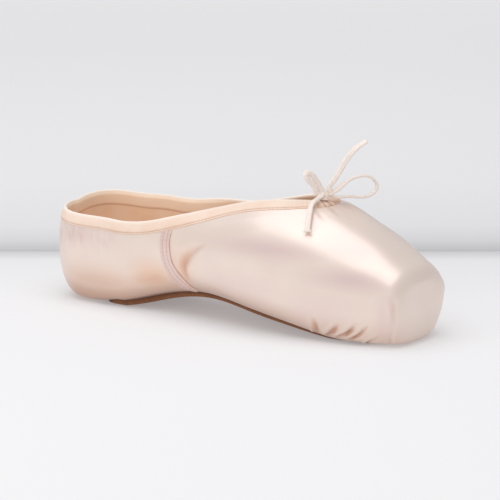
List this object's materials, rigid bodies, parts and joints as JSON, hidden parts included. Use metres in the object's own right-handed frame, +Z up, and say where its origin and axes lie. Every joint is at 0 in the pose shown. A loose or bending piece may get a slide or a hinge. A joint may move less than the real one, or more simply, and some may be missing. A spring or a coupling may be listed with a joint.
{
  "type": "pointe shoe",
  "caption": "Satin pointe shoe standing empty on its sole, with a cotton-bound collar, a side seam, a flat toe platform and a small drawstring bow at the throat.",
  "frame": {"origin": "on the floor, under the middle of the shoe's length", "axes": "+X from heel to toe, +Y to the shoe's own left, +Z up"},
  "size_m": [0.2353, 0.0752, 0.1008],
  "materials": {
    "satin": "pale pink satin with a soft gloss",
    "sole_leather": "pinkish brown suede leather",
    "lining_cotton": "matt tan cotton",
    "binding_cotton": "matt peach cotton twill",
    "drawstring_braid": "matt cream cotton braid"
  },
  "bodies": {
    "root": {"upper": "satin", "outsole": "sole_leather", "insole": "lining_cotton", "binding": "binding_cotton", "side_seam_left": "satin", "side_seam_right": "satin", "drawstring_knot": "drawstring_braid", "drawstring_loop_left": "drawstring_braid", "drawstring_loop_right": "drawstring_braid", "drawstring_end_down": "drawstring_braid", "drawstring_end_up": "drawstring_braid"}
  },
  "joints": []
}
